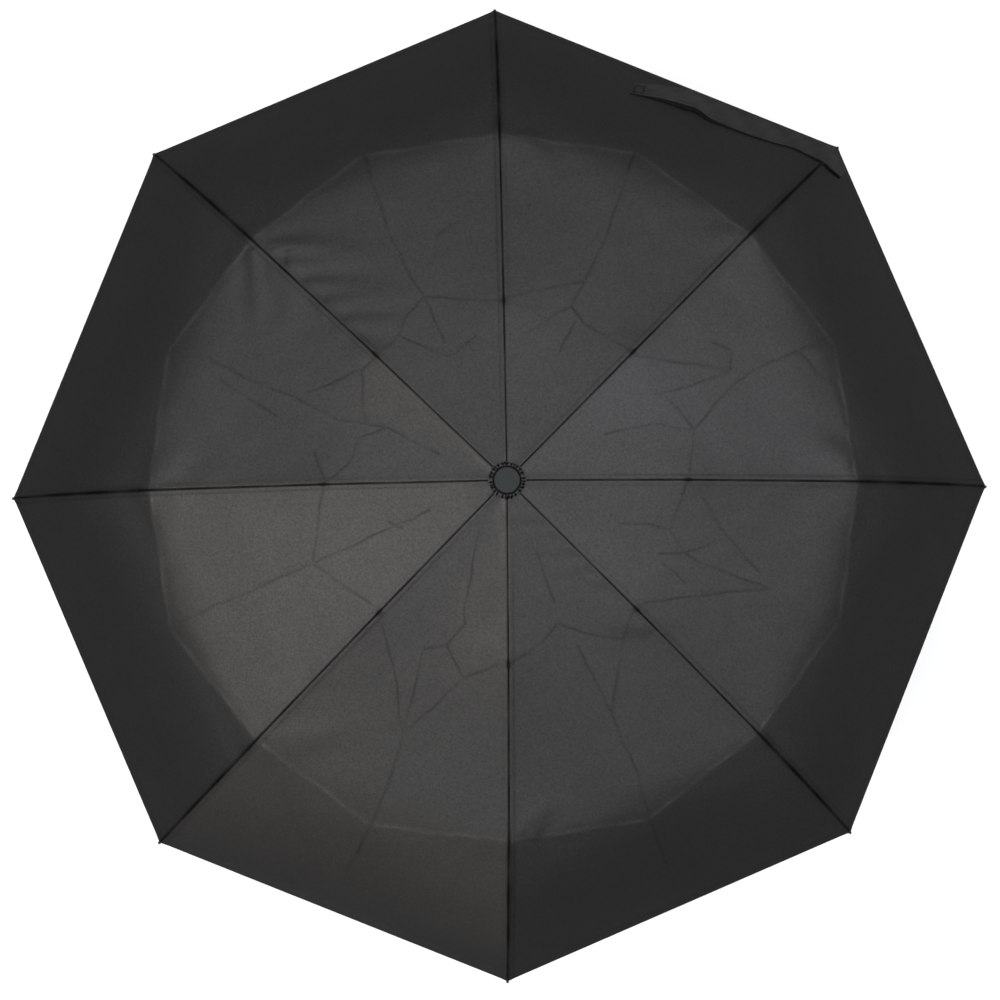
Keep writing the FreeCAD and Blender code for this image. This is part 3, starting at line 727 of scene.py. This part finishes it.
def build_rosette(material):
    """The pleated frill of cloth that stands out round the cap."""
    turn = np.linspace(0, 2 * math.pi, 20 * ROSETTE_PLEATS, endpoint=False)
    drift = 0.05 * np.sin(5 * turn + 1.0) + 0.035 * np.sin(11 * turn)
    wave = np.sin(ROSETTE_PLEATS * (turn + drift))
    fold = np.sign(wave) * np.abs(wave) ** 0.7
    shares = np.linspace(0, 1, ROSETTE_RINGS)
    rings = np.array([rosette_ring(share, turn, fold, wave) for share in shares])
    normals = closed_normals(rings)
    rings, normals = (np.concatenate([part, part[:, :1]], axis=1) for part in (rings, normals))
    mesh = sheet_mesh("rosette", rings, normals, CLOTH)
    # Painted shade in the pleats' valleys, stronger towards the outer edge
    pleat_valley_shade = np.clip(0.25 - fold, 0, 1) * np.linspace(0.5, 1, ROSETTE_RINGS)[:, None]
    add_painted_shading(mesh, np.concatenate([pleat_valley_shade, pleat_valley_shade[:, :1]], axis=1))
    down = np.linspace(0, 6, ROSETTE_RINGS)[:, None]
    add_cloth_uv(mesh, across_lengths(rings), np.repeat(down, rings.shape[1], axis=1))
    piece = add_piece("rosette", mesh, material, "upper_tube")


# The closing strap's edges: (distance from rib 1 along the hem, the outer and the inner edge's level
# distance from the hem, the outer and the inner edge's lift off the cloth)
STRAP = (
    (-25, 2, 11.4, 0.8, 3.4), (-12, 1.5, 18, 0.8, 4.4), (0, 1.5, 23.5, 1.4, 4.2), (16, 1.2, 22.5, 0.9, 3.2),
    (40, 1.2, 21, 0.7, 2.6), (64, 1.5, 24.5, 0.7, 2.6), (88, 2, 26.5, 0.7, 2.9), (116, 2, 26.8, 0.9, 4.0),
    (130, 2, 26, 1.0, 5.4), (138, 2, 23, 1.3, 6.6), (146, 2, 19.5, 1.7, 7.6), (156, 2.5, 21, 1.9, 8.0),
    (166, 3.5, 22, 1.9, 7.6), (178, 6, 24, 1.9, 6.0), (192, 12, 28, 1.7, 4.0), (203, 17, 31.5, 1.4, 2.4),
    (213, 20, 34, 1.1, 1.6),
)
STRAP_RIB = 1
STRAP_CUT = (30.0, 245.0)
STRAP_BOX = (202.0, 211.0)           # where its loose end is stitched in a box
STRAP_BOX_SIDES = (0.2, 0.8)         # shares of its width
STRAP_SQUARE_FROM = 60.0             # past this its stations lie square to the hem
STRAP_STATIONS = 170
STRAP_TURN = 0.86                    # the share of the strap's width where its free edge turns down
STRAP_SHARES = np.concatenate([np.linspace(1, STRAP_TURN, 6), np.linspace(STRAP_TURN, 0, 14)[1:]])


def strap_wrinkle(stations, share):
    return 0.8 * np.sin(stations / 6.1 + 5 * share) + 0.5 * np.sin(stations / 2.7 - 7 * share)


def strap_painted_shading(stations):
    """The strap's painted shading: painted shade on its turned-down free edge, darker lines where the box is
    stitched at its end, and a painted sheen on its face that follows its wrinkles.
    """
    shares = STRAP_SHARES[:, None]
    start, end = STRAP_BOX
    left, right = STRAP_BOX_SIDES
    # Painted shade on the turned-down free edge, standing in for the shadow under it
    under = np.clip((shares - STRAP_TURN) / 0.05, 0, 1) * np.ones(len(stations))
    ends = sum(bell(stations - x, 0.8) for x in STRAP_BOX) * ((shares < right) & (shares > left))
    sides = sum(bell(shares - x, 0.035) for x in STRAP_BOX_SIDES) * ((stations > start) & (stations < end))
    lines = np.clip(under + 0.8 * ends + 0.8 * sides, 0, 1)
    # A painted sheen on the strap's face, lighter where its wrinkles rise
    wear_and_sheen = 0.4 + 0.2 * strap_wrinkle(stations, shares)
    return lines - wear_and_sheen * (1 - lines)


def strap_row(share, stations, edges, skirt):
    """The strap's points at a share of its width, over the skirt's lines at the stations."""
    outer, inner, low, high = edges
    flat = min(share / STRAP_TURN, 1)
    turned_down = max(share - STRAP_TURN, 0) / (1 - STRAP_TURN)
    inward = outer + (inner - outer) * flat + 0.9 * high * turned_down
    loose = (0.5 + 0.35 * strap_wrinkle(stations, share)) * math.sin(math.pi * flat)
    lift = (low + (high - low) * flat ** 1.3 + loose) * (1 - 0.85 * turned_down)
    points = []
    for reach, rise, (depths, line) in zip(inward, lift, skirt):
        x, y, z = (np.interp(reach, depths, line[:, i]) for i in range(3))
        points.append((x, y, z + rise))
    return points


def build_strap(material, cloth, per_panel):
    """The closing strap, sewn down at rib 1's end and lying loose along the hem."""
    knots = np.array(STRAP, float)
    stations = np.linspace(knots[0, 0], knots[-1, 0], STRAP_STATIONS)
    edges = [rounded(knots[:, 0], knots[:, i], stations) for i in range(1, 5)]
    skirt = [skirt_line(cloth, per_panel, STRAP_RIB, station) for station in stations]
    points = np.array([strap_row(share, stations, edges, skirt) for share in STRAP_SHARES])
    mesh = sheet_mesh("strap", points, grid_normals(points), 2 * CLOTH)
    across = np.repeat(stations[None, :], len(STRAP_SHARES), axis=0)
    width, length = STRAP_CUT
    add_cloth_uv(mesh, across, np.repeat(width * STRAP_SHARES[:, None], STRAP_STATIONS, axis=1))
    add_painted_shading(mesh, strap_painted_shading(stations))
    piece = add_piece("strap", mesh, material, "outer_rib_1")
    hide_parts("tie_strap")
    gather(piece)


def rounded(places, values, wanted):
    """A curve through values at places, read at wanted, with its corners rounded off."""
    reach = 6
    fine = np.interp(wanted, places, values)
    kernel = np.hanning(2 * reach + 1)
    kernel /= kernel.sum()
    padded = np.pad(fine, reach, mode="reflect", reflect_type="odd")
    return np.convolve(padded, kernel, "valid")


def skirt_line(cloth, per_panel, rib, from_rib):
    """The level distances from the hem, and the points, of a line that runs up the skirt from the hem.

    It starts at a distance from a rib along the hem. Beside the rib it follows the rib, and further off it
    is square to the hem.
    """
    step = 1 if from_rib >= 0 else -1
    columns = (rib * per_panel + step * np.arange(per_panel + 1)) % cloth.shape[1]
    corner, far_corner = cloth[-1, columns[0]], cloth[-1, columns[-1]]
    along_hem = (far_corner - corner)[:2]
    along_hem /= np.linalg.norm(along_hem)
    squareness = min(max(from_rib / STRAP_SQUARE_FROM, 0), 1)
    points = []
    for line in cloth[:-OUTER_ROWS:-1, columns]:
        lengths = np.concatenate([[0], np.cumsum(np.linalg.norm(np.diff(line, axis=0), axis=1))])
        start = squareness * float((line[0] - corner)[:2] @ along_hem)
        points.append([np.interp(abs(from_rib) - start, lengths, line[:, i]) for i in range(3)])
    points = np.array(points)
    away = (points - corner)[:, :2]
    return np.abs(away[:, 0] * along_hem[1] - away[:, 1] * along_hem[0]), points


# ---------- floor, lights and camera, in metres ----------

# The camera looks down from a little in front of the crown
CAMERA_AT = Vector((-0.0704, -0.1437, 3.3475))
CAMERA_AIM = Vector((-0.0012, -0.0074, 0.3475))
CAMERA_UP = Vector((0.0132, 1.0, 0.0))
LENS = 108.4


def facing(position, target, up):
    """A matrix at position that looks at target along its own -Z."""
    back = (position - target).normalized()
    right = up.cross(back).normalized()
    turn = Matrix((right, back.cross(right), back)).transposed()
    return Matrix.Translation(position) @ turn.to_4x4()


def add_camera():
    data = bpy.data.cameras.new("camera")
    data.lens = LENS
    data.clip_end = 50
    camera = bpy.data.objects.new("camera", data)
    camera.matrix_world = facing(CAMERA_AT, CAMERA_AIM, CAMERA_UP)
    bpy.context.scene.collection.objects.link(camera)
    bpy.context.scene.camera = camera


def add_light(name, azimuth, zenith, distance, size, power, colour):
    """A round soft light that looks at the canopy, from angles in degrees about its middle."""
    data = bpy.data.lights.new(name, "AREA")
    data.shape = "DISK"
    data.size = size
    data.energy = power
    data.color = colour
    a, z = math.radians(azimuth), math.radians(zenith)
    away = Vector((math.sin(z) * math.cos(a), math.sin(z) * math.sin(a), math.cos(z)))
    target = Vector((0, 0, 0.5))
    light = bpy.data.objects.new(name, data)
    light.matrix_world = facing(target + away * distance, target, Vector((0.3, 1, 0)))
    light.visible_camera = False
    bpy.context.scene.collection.objects.link(light)


def add_floor():
    """A plain pale floor."""
    mesh = bpy.data.meshes.new("floor")
    far = 14.0
    corners = [(-far, -far, 0), (far, -far, 0), (far, far, 0), (-far, far, 0)]
    mesh.from_pydata(corners, [], [(0, 1, 2, 3)])
    material, _, _ = new_material("floor", (0.9, 0.9, 0.9), 0.9)
    mesh.materials.append(material)
    floor = bpy.data.objects.new("floor", mesh)
    floor.visible_glossy = False
    bpy.context.scene.collection.objects.link(floor)


def add_world():
    world = bpy.data.worlds.new("studio")
    world.use_nodes = True
    background = world.node_tree.nodes["Background"]
    background.inputs["Color"].default_value = (0.95, 0.97, 1.0, 1)
    background.inputs["Strength"].default_value = 0.19
    bpy.context.scene.world = world


def add_stage():
    add_floor()
    add_world()
    add_light("overhead", 0, 0, 2.5, 10.5, 432, (1.0, 0.995, 0.985))
    add_light("warm side", 200, 40, 2.8, 1.9, 30, (1.0, 0.95, 0.86))
    add_light("cool side", 14, 40, 2.8, 1.9, 16, (0.86, 0.92, 1.0))
    add_light("low front", 247, 82, 3.0, 1.6, 9, (1.0, 0.94, 0.84))
    add_camera()
    scene = bpy.context.scene
    scene.view_settings.view_transform = "Standard"
    scene.view_settings.look = "None"


def main():
    add_stage()
    cloth = cloth_material()
    finish_cad_nodes({
        "canopy_cloth": cloth, "painted_steel": enamelled_steel(), "fibreglass": glass_fibre(),
        "bare_steel": drawn_steel(), "black_plastic": grained_plastic(), "soft_grip": soft_grip()})
    grid, painted_shading, rows, per_panel = whole_cloth()
    build_canopy(cloth, grid, painted_shading, rows, per_panel)
    build_rosette(cloth)
    build_strap(cloth, grid, per_panel)


main()
